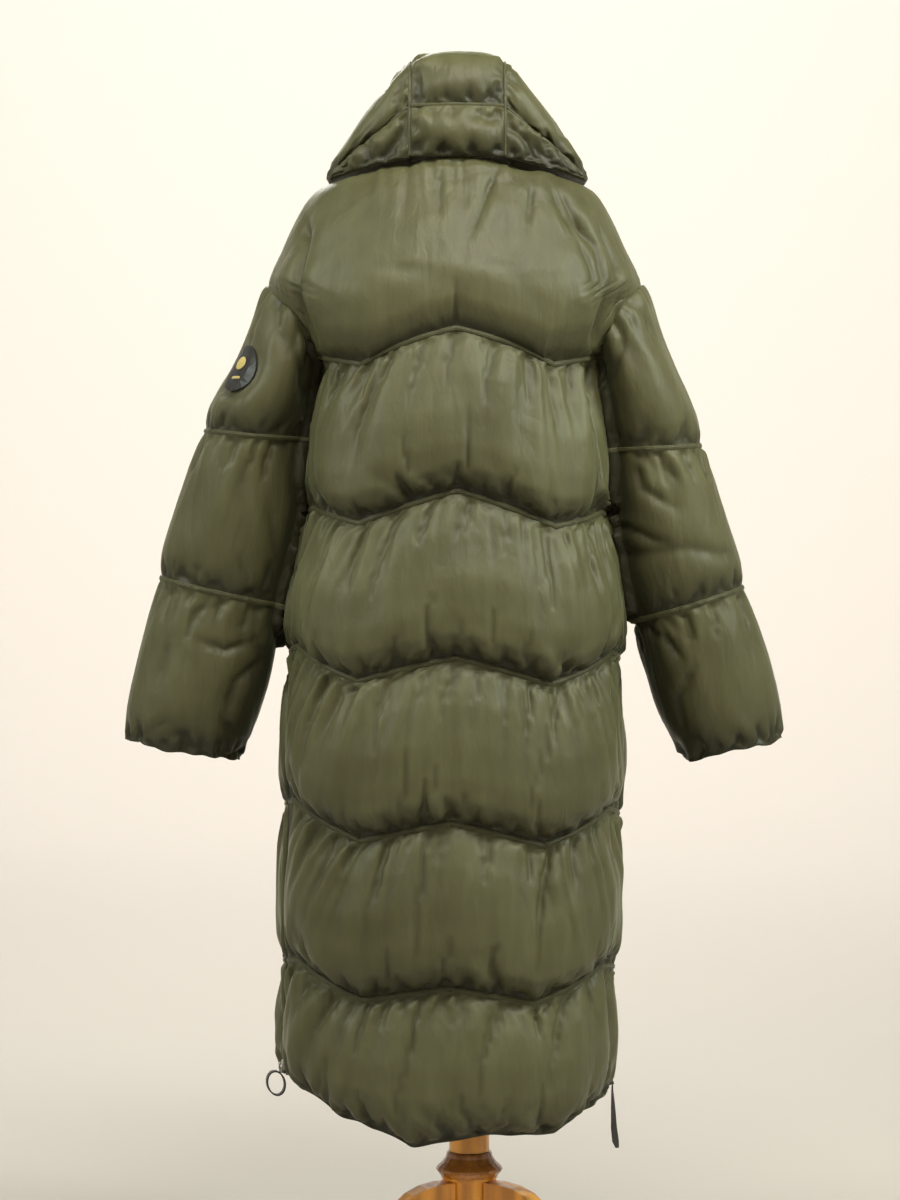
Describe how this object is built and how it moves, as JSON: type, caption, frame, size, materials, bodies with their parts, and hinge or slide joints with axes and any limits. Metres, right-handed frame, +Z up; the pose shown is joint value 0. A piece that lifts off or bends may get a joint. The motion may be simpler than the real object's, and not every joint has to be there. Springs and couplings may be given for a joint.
{
  "type": "long puffer coat on dress form",
  "caption": "Long quilted puffer coat with a hood, side zips and a front zip, hanging on a limbless dress form with a turned wooden stand.",
  "frame": {"origin": "on the floor under the middle of the coat and stand", "axes": "+Z up, +Y the way the coat faces, +X towards its right sleeve"},
  "size_m": [0.8204, 0.3983, 1.5658],
  "materials": {
    "olive_nylon": "satin",
    "black_tape": "matte",
    "black_strap": "matte",
    "nickel": "satin",
    "badge_rubber": "satin",
    "cream_jersey": "matte",
    "beech_wood": "satin",
    "stained_wood": "satin"
  },
  "bodies": {
    "root": {"back_tier_1": "olive_nylon", "back_tier_2": "olive_nylon", "back_tier_3": "olive_nylon", "back_tier_4": "olive_nylon", "back_tier_5": "olive_nylon", "back_tier_6": "olive_nylon", "front_left_tier_1": "olive_nylon", "front_left_tier_2": "olive_nylon", "front_left_tier_3": "olive_nylon", "front_left_tier_4": "olive_nylon", "front_left_tier_5": "olive_nylon", "front_left_tier_6": "olive_nylon", "front_right_tier_1": "olive_nylon", "front_right_tier_2": "olive_nylon", "front_right_tier_3": "olive_nylon", "front_right_tier_4": "olive_nylon", "front_right_tier_5": "olive_nylon", "front_right_tier_6": "olive_nylon", "sleeve_left_tier_1": "olive_nylon", "sleeve_left_tier_2": "olive_nylon", "sleeve_left_tier_3": "olive_nylon", "sleeve_right_tier_1": "olive_nylon", "sleeve_right_tier_2": "olive_nylon", "sleeve_right_tier_3": "olive_nylon", "hood_centre_lower": "olive_nylon", "hood_centre_upper": "olive_nylon", "hood_centre_front": "olive_nylon", "hood_side_left_lower": "olive_nylon", "hood_side_left_upper": "olive_nylon", "hood_side_right_lower": "olive_nylon", "hood_side_right_upper": "olive_nylon", "side_zip_left": "black_tape", "side_zip_right": "black_tape", "front_zip": "black_tape", "left_zip_slider": "nickel", "right_zip_slider": "nickel", "front_zip_slider": "nickel", "sleeve_badge": "badge_rubber", "form_torso": "cream_jersey", "stand_column": "beech_wood", "stand_hub": "beech_wood", "stand_leg_1": "beech_wood", "stand_leg_2": "beech_wood", "stand_leg_3": "beech_wood", "stand_collar": "stained_wood"},
    "left_pull": {"left_zip_pull_link": "nickel", "left_zip_pull_strap": "black_strap"},
    "right_pull": {"right_zip_pull_link": "nickel", "right_zip_pull_strap": "black_strap"},
    "front_pull": {"front_zip_pull_link": "nickel", "front_zip_pull_strap": "black_strap"}
  },
  "joints": [
    {"name": "left_pull_swing", "type": "hinge", "parent": "root", "child": "left_pull", "pos_m": [-0.21819, -0.04817, 0.31731], "axis": [-0.2553, 0.9668, 0.0109], "range_deg": [0, 90]},
    {"name": "right_pull_swing", "type": "hinge", "parent": "root", "child": "right_pull", "pos_m": [0.1935, -0.01551, 0.298], "axis": [-0.0651, -0.9979, 0.0005], "range_deg": [0, 100]},
    {"name": "front_pull_swing", "type": "hinge", "parent": "root", "child": "front_pull", "pos_m": [-0.00057, 0.09463, 1.36617], "axis": [0.9842, 0.1252, -0.1252], "range_deg": [0, 60]}
  ]
}
